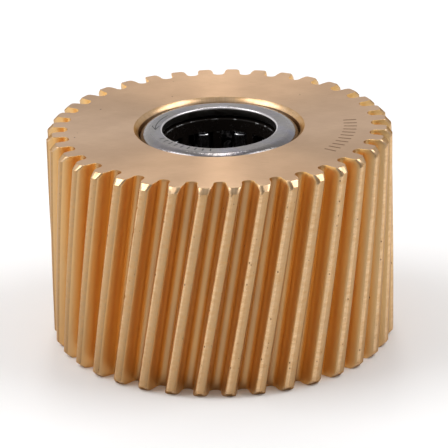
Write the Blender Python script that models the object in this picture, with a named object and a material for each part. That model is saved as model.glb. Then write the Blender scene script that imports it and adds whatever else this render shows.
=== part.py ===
"""A bronze helical gear with a drawn-cup roller clutch and a drawn-cup needle bearing pressed in its bore.

Metres, +Z up. The gear's axis is the Z axis and its bottom face lies at z = 0. The clutch sits at
the top of the bore and the needle bearing at the bottom, and a plain 12 mm shaft runs through both.
"""

from math import acos, atan, cos, pi, radians, sin, tan

import bmesh
import bpy

MM = 0.001

# The toothed body.
TEETH = 36
NORMAL_MODULE = 1.0 * MM
HELIX_ANGLE = radians(10)
PRESSURE_ANGLE = radians(14.5)
DEDENDUM_FACTOR = 1.35
FACE_WIDTH = 24.5 * MM
TIP_CHAMFER = 0.6 * MM
ROOT_FILLET = 0.3 * MM
TOP_TOOTH_ANGLE = radians(5)

TOOTH_PITCH = 2 * pi / TEETH
PITCH_RADIUS = TEETH * NORMAL_MODULE / cos(HELIX_ANGLE) / 2
TIP_RADIUS = PITCH_RADIUS + NORMAL_MODULE
ROOT_RADIUS = PITCH_RADIUS - DEDENDUM_FACTOR * NORMAL_MODULE
TRANSVERSE_PRESSURE_ANGLE = atan(tan(PRESSURE_ANGLE) / cos(HELIX_ANGLE))
BASE_RADIUS = PITCH_RADIUS * cos(TRANSVERSE_PRESSURE_ANGLE)
TWIST_PER_METRE = tan(HELIX_ANGLE) / PITCH_RADIUS

# Fits shared by the pieces.
SHAFT_RADIUS = 6.0 * MM
CUP_RADIUS = 9.0 * MM
PRESS_GAP = 0.05 * MM
ROLLING_GAP = 0.03 * MM
FACE_RECESS = 0.16 * MM
BORE_RADIUS = CUP_RADIUS + PRESS_GAP
BORE_CHAMFER = 0.45 * MM
BORE_SEGMENTS = 72

# The roller clutch, a 12 x 18 x 16 mm size.
CLUTCH_WIDTH = 16.0 * MM
CLUTCH_TOP = FACE_WIDTH - FACE_RECESS
CLUTCH_BOTTOM = CLUTCH_TOP - CLUTCH_WIDTH
CLUTCH_LIP_THICKNESS = 1.0 * MM
CLUTCH_LIP_HOLE_RADIUS = 6.35 * MM
CLUTCH_CORNER_RADIUS = 1.0 * MM
ROLLER_COUNT = 10
ROLLER_RADIUS = 1.0 * MM
ROLLER_LENGTH = 10.0 * MM
ROLLER_PITCH = 2 * pi / ROLLER_COUNT
FIRST_ROLLER_ANGLE = radians(34)
ROLLER_CIRCLE_RADIUS = SHAFT_RADIUS + ROLLER_RADIUS + ROLLING_GAP
RAMP_LOW_RADIUS = 8.0 * MM
RAMP_HIGH_RADIUS = 8.18 * MM
RAMP_START = radians(-13)
RAMP_END = radians(18)
RAMP_STEPS = 6
CLUTCH_CAGE_PLAY = 0.28 * MM
CLUTCH_CAGE_INNER_RADIUS = 6.2 * MM
CLUTCH_CAGE_OUTER_RADIUS = 7.85 * MM
CLUTCH_POCKET_START = radians(-9)
CLUTCH_POCKET_END = radians(18.2)
POCKET_END_PLAY = 0.1 * MM

# The leaf spring behind each roller, in a frame on the roller's centre: x is along the
# circumference away from the roller and y is outward from the gear's axis.
SPRING_THICKNESS = 0.12 * MM
SPRING_WIDTH = 7.0 * MM
SPRING_BAR_LEG_X = 1.92 * MM
SPRING_ROLLER_LEG_X = 1.32 * MM
SPRING_INNER_Y = -0.55 * MM
SPRING_OUTER_Y = 0.25 * MM
SPRING_BEND_STEPS = 4

# The needle bearing, a 12 x 18 x 8 mm size.
BEARING_WIDTH = 8.0 * MM
BEARING_BOTTOM = FACE_RECESS
BEARING_LIP_THICKNESS = 0.8 * MM
BEARING_LIP_HOLE_RADIUS = 6.6 * MM
BEARING_CORNER_RADIUS = 0.8 * MM
NEEDLE_COUNT = 14
NEEDLE_RADIUS = 1.0 * MM
NEEDLE_LENGTH = 4.6 * MM
NEEDLE_PITCH = 2 * pi / NEEDLE_COUNT
NEEDLE_CIRCLE_RADIUS = SHAFT_RADIUS + NEEDLE_RADIUS + ROLLING_GAP
NEEDLE_RACE_RADIUS = NEEDLE_CIRCLE_RADIUS + NEEDLE_RADIUS + ROLLING_GAP
BEARING_CAGE_PLAY = 0.2 * MM
BEARING_CAGE_INNER_RADIUS = 6.45 * MM
BEARING_CAGE_OUTER_RADIUS = 7.8 * MM
NEEDLE_POCKET_HALF_ANGLE = radians(9.0)

CORNER_STEPS = 2
CUP_SEGMENTS = 72
ROLLER_SEGMENTS = 16
ROLLER_END_CHAMFER = 0.15 * MM

# Colour, roughness and metallic value of each material.
FINISHES = {
    "bronze": ((0.55, 0.36, 0.17), 0.35, 1.0),
    "cup_steel": ((0.55, 0.55, 0.57), 0.28, 1.0),
    "roller_steel": ((0.62, 0.62, 0.64), 0.12, 1.0),
    "spring_steel": ((0.45, 0.44, 0.43), 0.3, 1.0),
    "cage_plastic": ((0.02, 0.018, 0.016), 0.5, 0.0),
    "cage_steel": ((0.4, 0.4, 0.41), 0.4, 1.0),
}


def clear_scene():
    for thing in list(bpy.data.objects):
        bpy.data.objects.remove(thing, do_unlink=True)


def make_material(name):
    colour, roughness, metallic = FINISHES[name]
    material = bpy.data.materials.new(name)
    material.use_nodes = True
    shader = material.node_tree.nodes["Principled BSDF"]
    shader.inputs["Base Color"].default_value = (*colour, 1.0)
    shader.inputs["Roughness"].default_value = roughness
    shader.inputs["Metallic"].default_value = metallic
    return material


def make_mesh(name, points, faces, material):
    """A closed mesh with its faces turned outward."""
    mesh = bpy.data.meshes.new(name)
    mesh.from_pydata(points, [], faces)
    body = bmesh.new()
    body.from_mesh(mesh)
    bmesh.ops.recalc_face_normals(body, faces=body.faces)
    body.to_mesh(mesh)
    body.free()
    mesh.materials.append(material)
    mesh.shade_smooth()
    mesh.set_sharp_from_angle(angle=radians(30))
    return mesh


def place(name, mesh, location=(0, 0, 0), turn=0.0):
    """An object that shows a mesh at a location, turned about +Z."""
    thing = bpy.data.objects.new(name, mesh)
    thing.location = location
    thing.rotation_euler = (0, 0, turn)
    bpy.context.scene.collection.objects.link(thing)
    return thing


def polar(radius, angle, height):
    return (radius * cos(angle), radius * sin(angle), height)


def loop_faces(ring_count, ring_size, closed):
    """Quads that join rings of points, each ring to the next and, if closed, the last to the first."""
    faces = []
    for ring in range(ring_count if closed else ring_count - 1):
        here = ring * ring_size
        there = (ring + 1) % ring_count * ring_size
        for step in range(ring_size):
            after = (step + 1) % ring_size
            faces.append((here + step, here + after, there + after, there + step))
    return faces


# Gear body


def involute(angle):
    return tan(angle) - angle


def tooth_half_angle(radius):
    """Half of the angle that a tooth takes at a radius. Below the base circle its sides are radial."""
    at_pitch = TOOTH_PITCH / 4 + involute(TRANSVERSE_PRESSURE_ANGLE)
    return at_pitch - involute(acos(BASE_RADIUS / max(radius, BASE_RADIUS)))


def tooth_side(tip_radius):
    """One side of a tooth from its root to its tip, as radius and angle from the tooth's middle."""
    root_edge = tooth_half_angle(ROOT_RADIUS) + ROOT_FILLET / ROOT_RADIUS
    side = [(ROOT_RADIUS, root_edge)]
    flank_start = ROOT_RADIUS + ROOT_FILLET
    for radius in (flank_start, (BASE_RADIUS + tip_radius) / 2, tip_radius):
        side.append((radius, tooth_half_angle(radius)))
    return side


def gear_outline(height):
    """The toothed outline at a height, from the middle of a tooth space round to the same place."""
    from_end = min(height, FACE_WIDTH - height)
    tip_radius = min(TIP_RADIUS, TIP_RADIUS - TIP_CHAMFER + from_end)
    first_tooth = TOP_TOOTH_ANGLE + (height - FACE_WIDTH) * TWIST_PER_METRE
    side = tooth_side(tip_radius)
    outline = []
    for tooth in range(TEETH):
        middle = first_tooth + tooth * TOOTH_PITCH
        outline.append(polar(ROOT_RADIUS, middle - TOOTH_PITCH / 2, height))
        for radius, angle in side:
            outline.append(polar(radius, middle - angle, height))
        for radius, angle in reversed(side):
            outline.append(polar(radius, middle + angle, height))
    return outline


def end_face(outline_start, bore_start, tooth_points, height):
    """One flat face per tooth, between the toothed outline and the rim of the bore."""
    first_tooth = TOP_TOOTH_ANGLE + (height - FACE_WIDTH) * TWIST_PER_METRE
    bore_step = 2 * pi / BORE_SEGMENTS
    rim_points = BORE_SEGMENTS // TEETH
    first_rim = round((first_tooth - TOOTH_PITCH / 2) / bore_step)
    faces = []
    for tooth in range(TEETH):
        outer = [
            outline_start + (tooth * tooth_points + step) % (TEETH * tooth_points)
            for step in range(tooth_points + 1)
        ]
        inner = [
            bore_start + (first_rim + tooth * rim_points + step) % BORE_SEGMENTS
            for step in range(rim_points + 1)
        ]
        faces.append((*outer, *reversed(inner)))
    return faces


def build_gear_body(material):
    middle_bands = 4
    middle = FACE_WIDTH - 2 * TIP_CHAMFER
    heights = [TIP_CHAMFER + middle * band / middle_bands for band in range(middle_bands + 1)]
    heights = [0.0, *heights, FACE_WIDTH]
    points = []
    for height in heights:
        points += gear_outline(height)
    outline_size = len(points) // len(heights)
    faces = loop_faces(len(heights), outline_size, closed=False)

    bore_start = len(points)
    bore_rings = (
        (BORE_RADIUS + BORE_CHAMFER, 0.0),
        (BORE_RADIUS, BORE_CHAMFER),
        (BORE_RADIUS, FACE_WIDTH - BORE_CHAMFER),
        (BORE_RADIUS + BORE_CHAMFER, FACE_WIDTH),
    )
    for radius, height in bore_rings:
        for step in range(BORE_SEGMENTS):
            points.append(polar(radius, 2 * pi * step / BORE_SEGMENTS, height))
    for face in loop_faces(len(bore_rings), BORE_SEGMENTS, closed=False):
        faces.append(tuple(bore_start + corner for corner in face))

    tooth_points = outline_size // TEETH
    last_outline = outline_size * (len(heights) - 1)
    last_rim = bore_start + BORE_SEGMENTS * (len(bore_rings) - 1)
    faces += end_face(0, bore_start, tooth_points, 0.0)
    faces += end_face(last_outline, last_rim, tooth_points, FACE_WIDTH)
    place("gear_body", make_mesh("gear_body", points, faces, material))


# Drawn cups


def corner_arc(corner_radius, corner_height, upward):
    """The rounded outer edge of a cup's lip, from the flat lip out to the wall or back."""
    arc = []
    for step in range(CORNER_STEPS + 1):
        turn = pi / 2 * step / CORNER_STEPS
        radius = CUP_RADIUS - corner_radius + corner_radius * sin(turn)
        rise = corner_radius - corner_radius * cos(turn)
        arc.append((radius, corner_height - rise if upward else corner_height + rise))
    return arc if upward else arc[::-1]


def cup_section(bottom, top, lip, hole_radius, corner_radius, race_radius):
    """A cup's section as radius and height: a wall with a lip turned inward at each end."""
    return [
        (hole_radius, top),
        *corner_arc(corner_radius, top, upward=True),
        *corner_arc(corner_radius, bottom, upward=False),
        (hole_radius, bottom),
        (hole_radius, bottom + lip),
        (race_radius, bottom + lip),
        (race_radius, top - lip),
        (hole_radius, top - lip),
    ]


def build_ring(name, angles, section_at, material):
    """A ring swept round the axis, whose section can differ from angle to angle."""
    points = []
    for angle in angles:
        section = section_at(angle)
        points += [polar(radius, angle, height) for radius, height in section]
    faces = loop_faces(len(angles), len(section), closed=True)
    place(name, make_mesh(name, points, faces, material))


def ramp_radius(angle):
    """The clutch cup's inner radius: in each pocket it rises away from the side where rollers jam."""
    offset = (angle - FIRST_ROLLER_ANGLE - RAMP_START) % ROLLER_PITCH + RAMP_START
    if offset > RAMP_END + radians(0.1):
        return RAMP_LOW_RADIUS
    share = (offset - RAMP_START) / (RAMP_END - RAMP_START)
    return RAMP_LOW_RADIUS + share * (RAMP_HIGH_RADIUS - RAMP_LOW_RADIUS)


def build_clutch_cup(material):
    ramp_drop = radians(3)
    angles = []
    for pocket in range(ROLLER_COUNT):
        middle = FIRST_ROLLER_ANGLE + pocket * ROLLER_PITCH
        for step in range(RAMP_STEPS + 1):
            share = (step + 0.001) / (RAMP_STEPS + 0.002)
            angles.append(middle + RAMP_START + share * (RAMP_END - RAMP_START))
        angles.append(middle + RAMP_END + ramp_drop)

    def section_at(angle):
        return cup_section(
            CLUTCH_BOTTOM,
            CLUTCH_TOP,
            CLUTCH_LIP_THICKNESS,
            CLUTCH_LIP_HOLE_RADIUS,
            CLUTCH_CORNER_RADIUS,
            ramp_radius(angle),
        )

    build_ring("clutch_cup", angles, section_at, material)


def build_bearing_cup(material):
    angles = [2 * pi * step / CUP_SEGMENTS for step in range(CUP_SEGMENTS)]
    flat_allowance = 1 / cos(pi / CUP_SEGMENTS)
    section = cup_section(
        BEARING_BOTTOM,
        BEARING_BOTTOM + BEARING_WIDTH,
        BEARING_LIP_THICKNESS,
        BEARING_LIP_HOLE_RADIUS,
        BEARING_CORNER_RADIUS,
        NEEDLE_RACE_RADIUS * flat_allowance,
    )
    build_ring("bearing_cup", angles, lambda angle: section, material)


# Cages


def build_cage(name, radii, heights, sectors, material):
    """A ring with windows. Sectors are (start angle, is_window) in order round the ring, and the
    heights are the bottom, the windows' bottom and top, and the top."""
    count = len(sectors)
    rings = [(radius, height) for radius in radii for height in heights]
    points = [polar(radius, angle, height) for radius, height in rings for angle, _ in sectors]

    def corner(side, level, step):
        return (side * len(heights) + level) * count + step % count

    faces = []
    for step in range(count):
        is_window = sectors[step][1]
        was_window = sectors[step - 1][1]
        for side in (0, 1):
            for level in (0, 1, 2):
                if level == 1 and is_window:
                    continue
                faces.append(
                    (
                        corner(side, level, step),
                        corner(side, level, step + 1),
                        corner(side, level + 1, step + 1),
                        corner(side, level + 1, step),
                    )
                )
        for level in (0, 1, 2, 3):
            if level in (0, 3) or is_window:
                faces.append(
                    (
                        corner(0, level, step),
                        corner(0, level, step + 1),
                        corner(1, level, step + 1),
                        corner(1, level, step),
                    )
                )
        if is_window != was_window:
            faces.append((corner(0, 1, step), corner(1, 1, step), corner(1, 2, step), corner(0, 2, step)))
    place(name, make_mesh(name, points, faces, material))


def window_sectors(count, first, window_start, window_end, window_steps, bar_steps):
    """Sector starts and kinds for a cage with equal windows."""
    pitch = 2 * pi / count
    sectors = []
    for number in range(count):
        middle = first + number * pitch
        for step in range(window_steps):
            share = step / window_steps
            sectors.append((middle + window_start + share * (window_end - window_start), True))
        for step in range(bar_steps):
            share = step / bar_steps
            sectors.append((middle + window_end + share * (pitch - window_end + window_start), False))
    return sectors


def roller_middle():
    return (CLUTCH_BOTTOM + CLUTCH_TOP) / 2


def needle_middle():
    return BEARING_BOTTOM + BEARING_WIDTH / 2


def build_clutch_cage(material):
    window = ROLLER_LENGTH / 2 + POCKET_END_PLAY
    half_length = CLUTCH_WIDTH / 2 - CLUTCH_LIP_THICKNESS - CLUTCH_CAGE_PLAY
    heights = [roller_middle() + offset for offset in (-half_length, -window, window, half_length)]
    sectors = window_sectors(
        ROLLER_COUNT, FIRST_ROLLER_ANGLE, CLUTCH_POCKET_START, CLUTCH_POCKET_END, 3, 1
    )
    radii = (CLUTCH_CAGE_INNER_RADIUS, CLUTCH_CAGE_OUTER_RADIUS)
    build_cage("clutch_cage", radii, heights, sectors, material)


def build_bearing_cage(material):
    window = NEEDLE_LENGTH / 2 + POCKET_END_PLAY
    half_length = BEARING_WIDTH / 2 - BEARING_LIP_THICKNESS - BEARING_CAGE_PLAY
    heights = [needle_middle() + offset for offset in (-half_length, -window, window, half_length)]
    sectors = window_sectors(
        NEEDLE_COUNT, 0.0, -NEEDLE_POCKET_HALF_ANGLE, NEEDLE_POCKET_HALF_ANGLE, 2, 1
    )
    radii = (BEARING_CAGE_INNER_RADIUS, BEARING_CAGE_OUTER_RADIUS)
    build_cage("bearing_cage", radii, heights, sectors, material)


# Rollers, needles and springs


def roller_mesh(name, radius, length, material):
    """A roller about its own origin, chamfered at both ends."""
    half = length / 2
    rings = (
        (radius - ROLLER_END_CHAMFER, -half),
        (radius, -half + ROLLER_END_CHAMFER),
        (radius, half - ROLLER_END_CHAMFER),
        (radius - ROLLER_END_CHAMFER, half),
    )
    points = []
    for ring_radius, height in rings:
        for step in range(ROLLER_SEGMENTS):
            points.append(polar(ring_radius, 2 * pi * step / ROLLER_SEGMENTS, height))
    faces = loop_faces(len(rings), ROLLER_SEGMENTS, closed=False)
    faces.append(tuple(range(ROLLER_SEGMENTS)))
    last_ring = ROLLER_SEGMENTS * (len(rings) - 1)
    faces.append(tuple(range(last_ring, last_ring + ROLLER_SEGMENTS)))
    return make_mesh(name, points, faces, material)


def build_clutch_rollers(material):
    mesh = roller_mesh("clutch_roller", ROLLER_RADIUS, ROLLER_LENGTH, material)
    for number in range(ROLLER_COUNT):
        angle = FIRST_ROLLER_ANGLE + number * ROLLER_PITCH
        place(
            f"clutch_roller_{number + 1:02d}",
            mesh,
            polar(ROLLER_CIRCLE_RADIUS, angle, roller_middle()),
            angle,
        )


def build_bearing_needles(material):
    mesh = roller_mesh("bearing_needle", NEEDLE_RADIUS, NEEDLE_LENGTH, material)
    for number in range(NEEDLE_COUNT):
        angle = number * NEEDLE_PITCH
        place(
            f"bearing_needle_{number + 1:02d}",
            mesh,
            polar(NEEDLE_CIRCLE_RADIUS, angle, needle_middle()),
            angle,
        )


def spring_line(inset):
    """The hairpin spring's line, seen along the gear's axis, at a distance inside its outer face."""
    middle_x = (SPRING_BAR_LEG_X + SPRING_ROLLER_LEG_X) / 2
    bend_radius = (SPRING_BAR_LEG_X - SPRING_ROLLER_LEG_X) / 2 - inset
    line = [(middle_x + bend_radius, SPRING_INNER_Y)]
    for step in range(SPRING_BEND_STEPS + 1):
        turn = pi * step / SPRING_BEND_STEPS
        x = middle_x + bend_radius * cos(turn)
        line.append((x, SPRING_OUTER_Y + bend_radius * sin(turn)))
    line.append((middle_x - bend_radius, SPRING_INNER_Y))
    return line


def build_clutch_springs(material):
    outline = spring_line(0.0) + spring_line(SPRING_THICKNESS)[::-1]
    size = len(outline)
    points = []
    for height in (-SPRING_WIDTH / 2, SPRING_WIDTH / 2):
        points += [(y, x, height) for x, y in outline]
    faces = loop_faces(2, size, closed=False)
    faces.append(tuple(range(size)))
    faces.append(tuple(range(size, 2 * size)))
    mesh = make_mesh("clutch_spring", points, faces, material)
    for number in range(ROLLER_COUNT):
        angle = FIRST_ROLLER_ANGLE + number * ROLLER_PITCH
        location = polar(ROLLER_CIRCLE_RADIUS, angle, roller_middle())
        place(f"clutch_spring_{number + 1:02d}", mesh, location, angle)


def main():
    clear_scene()
    build_gear_body(make_material("bronze"))
    cup_steel = make_material("cup_steel")
    roller_steel = make_material("roller_steel")
    build_clutch_cup(cup_steel)
    build_clutch_cage(make_material("cage_plastic"))
    build_clutch_rollers(roller_steel)
    build_clutch_springs(make_material("spring_steel"))
    build_bearing_cup(cup_steel)
    build_bearing_cage(make_material("cage_steel"))
    build_bearing_needles(roller_steel)


main()
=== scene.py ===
"""The finished look of a bronze helical gear with a roller clutch and a needle bearing in its bore.

Metres, +Z up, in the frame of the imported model. Every piece here stands for one of its solids, with
the same size and place, a finer surface and a procedural material.
"""

from math import acos, asin, atan, cos, hypot, pi, radians, sin, tan

import bpy
import numpy as np
from mathutils import Matrix, Vector


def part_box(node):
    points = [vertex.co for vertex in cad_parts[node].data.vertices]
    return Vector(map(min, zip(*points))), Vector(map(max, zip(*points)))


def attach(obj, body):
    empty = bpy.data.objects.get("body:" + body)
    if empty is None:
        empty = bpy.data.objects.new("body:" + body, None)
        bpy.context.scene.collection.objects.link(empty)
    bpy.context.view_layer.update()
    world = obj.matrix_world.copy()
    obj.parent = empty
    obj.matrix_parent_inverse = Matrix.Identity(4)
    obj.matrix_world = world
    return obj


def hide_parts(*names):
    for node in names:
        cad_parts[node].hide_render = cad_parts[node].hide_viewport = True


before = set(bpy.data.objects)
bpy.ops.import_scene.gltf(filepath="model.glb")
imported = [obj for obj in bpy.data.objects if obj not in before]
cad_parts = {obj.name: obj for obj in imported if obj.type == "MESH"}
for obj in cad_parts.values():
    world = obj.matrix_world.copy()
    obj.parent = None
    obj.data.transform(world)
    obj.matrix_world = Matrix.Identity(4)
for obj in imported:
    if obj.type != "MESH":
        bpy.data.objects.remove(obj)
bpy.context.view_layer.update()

MM = 0.001

# The toothed body, from the frame and the tooth system.
gear_low, gear_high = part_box("gear_body")
FACE_WIDTH = gear_high.z - gear_low.z
TIP_RADIUS = (gear_high.x - gear_low.x) / 2
TEETH = 36
NORMAL_MODULE = 1.0 * MM
HELIX_ANGLE = radians(10)
PRESSURE_ANGLE = radians(14.5)
TIP_CHAMFER = 0.6 * MM
ROOT_FILLET = 0.58 * MM
TOP_TOOTH_ANGLE = radians(5)
TOOTH_PITCH = 2 * pi / TEETH
PITCH_RADIUS = TIP_RADIUS - NORMAL_MODULE
ROOT_RADIUS = PITCH_RADIUS - 1.35 * NORMAL_MODULE
TRANSVERSE_PRESSURE_ANGLE = atan(tan(PRESSURE_ANGLE) / cos(HELIX_ANGLE))
BASE_RADIUS = PITCH_RADIUS * cos(TRANSVERSE_PRESSURE_ANGLE)
TWIST_PER_METRE = tan(HELIX_ANGLE) / PITCH_RADIUS

# How finely the body is drawn, and its broken edges. EDGE_ROUNDNESS is 0 for a bevel and 1 for an arc.
LEFT_EDGE = 0.22 * MM
RIGHT_EDGE = 0.16 * MM
FACE_EDGE = 0.05 * MM
FACE_EDGE_STEPS = 2
ROOT_STEPS = 2
FILLET_STEPS = 7
FLANK_STEPS = 6
EDGE_STEPS = 2
EDGE_ROUNDNESS = 0.3
LAND_STEPS = 2
HEIGHT_STEPS = 56
RIM_POINTS_PER_TOOTH = 8
RIM_POINTS = RIM_POINTS_PER_TOOTH * TEETH
NICK_COUNT = 70
NICK_DEPTH = 0.07 * MM
NICK_CLEAR_LEVELS = 4

# The bore and the two drawn cups in it.
clutch_low, clutch_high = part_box("clutch_cup")
bearing_low, bearing_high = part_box("bearing_cup")
CUP_RADIUS = (clutch_high.y - clutch_low.y) / 2
BORE_RADIUS = CUP_RADIUS + 0.03 * MM
BORE_CHAMFER = 0.47 * MM
BORE_SOFTENING = 0.03 * MM
CLUTCH_LIP_HOLE = 6.35 * MM
CLUTCH_LIP_THICKNESS = 1.0 * MM
CLUTCH_CORNER = 1.3 * MM
BEARING_LIP_HOLE = 6.6 * MM
BEARING_LIP_THICKNESS = 0.8 * MM
BEARING_CORNER = 0.8 * MM
LIP_EDGE = 0.18 * MM
LIP_EDGE_STEPS = 3
CUP_INSIDE_CORNER = 0.25 * MM
CUP_SEGMENTS = 240
CORNER_STEPS = 8

# The clutch's ramps, rollers, springs and cage.
roller_low, roller_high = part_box("clutch_roller_01")
ROLLER_NODES = sorted(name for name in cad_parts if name.startswith("clutch_roller"))
ROLLER_COUNT = len(ROLLER_NODES)
ROLLER_PITCH = 2 * pi / ROLLER_COUNT
FIRST_ROLLER_ANGLE = radians(34)
RAMP_LOW_RADIUS = 8.0 * MM
RAMP_HIGH_RADIUS = 8.18 * MM
RAMP_START = radians(-13)
RAMP_END = radians(18)
RAMP_DROP = radians(3)
CLUTCH_WINDOW = (radians(-9), radians(18.2))
WINDOW_PLAY = 0.1 * MM
SPRING_THICKNESS = 0.12 * MM
SPRING_WIDTH = 7.0 * MM
SPRING_LEGS = (1.32 * MM, 1.92 * MM)
SPRING_REACH = (-0.55 * MM, 0.25 * MM)
SPRING_BEND_STEPS = 12

# The needle bearing's needles and cage.
needle_low, needle_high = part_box("bearing_needle_01")
NEEDLE_NODES = sorted(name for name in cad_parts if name.startswith("bearing_needle"))
NEEDLE_COUNT = len(NEEDLE_NODES)
NEEDLE_RACE_RADIUS = 8.06 * MM
NEEDLE_WINDOW = (radians(-9), radians(9))
ROLLER_SEGMENTS = 48
ROLLER_END_ROUND = 0.15 * MM
ROLLER_END_STEPS = 4
ROLLER_DISH = 0.02 * MM
CAGE_BEVEL = 0.10 * MM
CAGE_BEVEL_STEPS = 2
CAGE_BEVEL_LIMIT = radians(40)

# Generic marks on the end face and on the clutch's lip. A row's angles are those of its first and last tick.
MARK_DEPTH = 0.02 * MM
MARK_RISE = 0.004 * MM
FACE_TICKS = 11
FACE_TICK_RADIUS = 14.6 * MM
FACE_TICK_ANGLES = (radians(-34), radians(4))
FACE_TICK_SIZE = (1.5 * MM, 0.20 * MM)
LIP_TICKS = 9
LIP_TICK_RADIUS = 7.02 * MM
LIP_TICK_ANGLES = (radians(206), radians(262))
LIP_TICK_SIZE = (0.65 * MM, 0.15 * MM)
TICK_END_STEPS = 6
ARROW_RADIUS = 7.13 * MM
ARROW_ANGLES = (radians(144), radians(183))
ARROW_WIDTH = 0.10 * MM
ARROW_BARB = 1.2 * MM
ARROW_SPREAD = radians(20)
ARROW_STEPS = 16

# The camera: a long lens from the front, a little above the gear.
LENS_MM = 287.9
SENSOR_MM = 36
CAMERA_AZIMUTH = radians(0.31)
CAMERA_ELEVATION = radians(20.635)
CAMERA_DISTANCE = 20.695 * TIP_RADIUS
CAMERA_PAN = radians(0.038)
CAMERA_TILT = radians(-1.568)
CAMERA_ROLL = radians(-1.426)

# The studio: a floor, a room, and two soft lights over the gear's sides and a strip behind it.
FLOOR_REACH = 3.0
ROOM_FRONT_STRENGTH = 0.35
ROOM_FRONT_END = -0.35
ROOM_LEFT_STRENGTH = 1.35
ROOM_RIGHT_STRENGTH = 0.68
LIGHT_DISTANCE = 0.6
LEFT_LIGHT = (-0.60, -0.03, 0.80)
RIGHT_LIGHT = (0.60, -0.03, 0.80)
SIDE_LIGHT_SIZE = (0.34, 0.34)
SIDE_LIGHT_POWER = 1.4
BACK_LIGHT = (0.0, 0.46, 0.89)
BACK_LIGHT_SIZE = (0.075, 0.36)
BACK_LIGHT_POWER = 0.42

# The zones of the toothed body and of the cups, each with its own finish.
ACROSS_LAND = "across_land"
FACE, LAND, EDGE, FLANK, CHAMFER = range(5)
CUP_BODY, CUP_LIP, CUP_HOLE_EDGE, CUP_HOLE_WALL = range(4)


# Materials


class NodeTree:
    """A tree of shader nodes, of a material or of the world."""

    def __init__(self, tree):
        self.tree = tree

    def node(self, kind, **values):
        made = self.tree.nodes.new(kind)
        for name, value in values.items():
            setattr(made, name, value)
        return made

    def link(self, output, target):
        self.tree.links.new(output, target)

    def between(self, value, low, high, to_low=0.0, to_high=1.0, interpolation="LINEAR"):
        """A value mapped from one span onto another, and held at its ends."""
        span = self.node("ShaderNodeMapRange", interpolation_type=interpolation)
        span.inputs["From Min"].default_value = low
        span.inputs["From Max"].default_value = high
        span.inputs["To Min"].default_value = to_low
        span.inputs["To Max"].default_value = to_high
        self.link(value, span.inputs["Value"])
        return span.outputs["Result"]


class Shading(NodeTree):
    """One procedural material, with a short method for each kind of node that it uses."""

    def __init__(self, name, metallic, colour, roughness):
        self.material = bpy.data.materials.new(name)
        self.material.use_nodes = True
        super().__init__(self.material.node_tree)
        self.shader = self.tree.nodes["Principled BSDF"]
        self.shader.inputs["Metallic"].default_value = metallic
        self.shader.inputs["Base Color"].default_value = (*colour, 1)
        self.shader.inputs["Roughness"].default_value = roughness
        self.colour = colour
        self.roughness = roughness

    def place(self, source, scale):
        """Texture coordinates, stretched: from the object in metres, or from the surface map in mm."""
        coordinates = self.node("ShaderNodeTexCoord")
        mapping = self.node("ShaderNodeMapping")
        mapping.inputs["Scale"].default_value = scale
        self.link(coordinates.outputs[source], mapping.inputs["Vector"])
        return mapping.outputs["Vector"]

    def noise(self, scale, detail=2.0, source="Object", rough=0.5):
        texture = self.node("ShaderNodeTexNoise")
        texture.inputs["Scale"].default_value = 1.0
        texture.inputs["Detail"].default_value = detail
        texture.inputs["Roughness"].default_value = rough
        self.link(self.place(source, scale), texture.inputs["Vector"])
        return texture.outputs["Fac"]

    def spots(self, scale, size, source="Object"):
        """1 inside small round spots, scattered one to a cell, and 0 between them."""
        texture = self.node("ShaderNodeTexVoronoi")
        texture.inputs["Scale"].default_value = 1.0
        self.link(self.place(source, scale), texture.inputs["Vector"])
        return self.between(texture.outputs["Distance"], size, size * 0.5)

    def axis_distance(self):
        """The distance from the gear's axis, in metres."""
        length = self.node("ShaderNodeVectorMath", operation="LENGTH")
        self.link(self.place("Object", (1, 1, 0)), length.inputs[0])
        return length.outputs["Value"]

    def turned(self, amount):
        """Spreads reflections across the fine grooves that turning leaves round the axis."""
        direction = self.node("ShaderNodeTangent", direction_type="RADIAL", axis="Z")
        self.link(direction.outputs["Tangent"], self.shader.inputs["Tangent"])
        self.shader.inputs["Anisotropic"].default_value = amount
        self.shader.inputs["Anisotropic Rotation"].default_value = 0.25

    def rim_tint(self, colour):
        """The colour of a metal's reflection where it is seen almost edge on."""
        self.shader.inputs["Specular Tint"].default_value = (*colour, 1)

    def tint(self, amount, colour):
        """Paints a colour over what is there, by an amount from 0 to 1."""
        mix = self.node("ShaderNodeMix", data_type="RGBA")
        self.link(amount, mix.inputs["Factor"])
        target = self.shader.inputs["Base Color"]
        if target.is_linked:
            self.link(target.links[0].from_socket, mix.inputs["A"])
        else:
            mix.inputs["A"].default_value = (*self.colour, 1)
        mix.inputs["B"].default_value = (*colour, 1)
        self.link(mix.outputs["Result"], target)

    def roughen(self, value, change):
        """Adds a share of a 0 to 1 value to the roughness."""
        target = self.shader.inputs["Roughness"]
        added = self.node("ShaderNodeMath", operation="MULTIPLY_ADD", use_clamp=True)
        self.link(value, added.inputs[0])
        added.inputs[1].default_value = change
        if target.is_linked:
            self.link(target.links[0].from_socket, added.inputs[2])
        else:
            added.inputs[2].default_value = self.roughness
        self.link(added.outputs["Value"], target)

    def bump(self, height, depth):
        """Raises the surface by a 0 to 1 height times a depth in metres."""
        relief = self.node("ShaderNodeBump")
        relief.inputs["Distance"].default_value = depth
        self.link(height, relief.inputs["Height"])
        target = self.shader.inputs["Normal"]
        if target.is_linked:
            self.link(target.links[0].from_socket, relief.inputs["Normal"])
        self.link(relief.outputs["Normal"], target)


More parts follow.
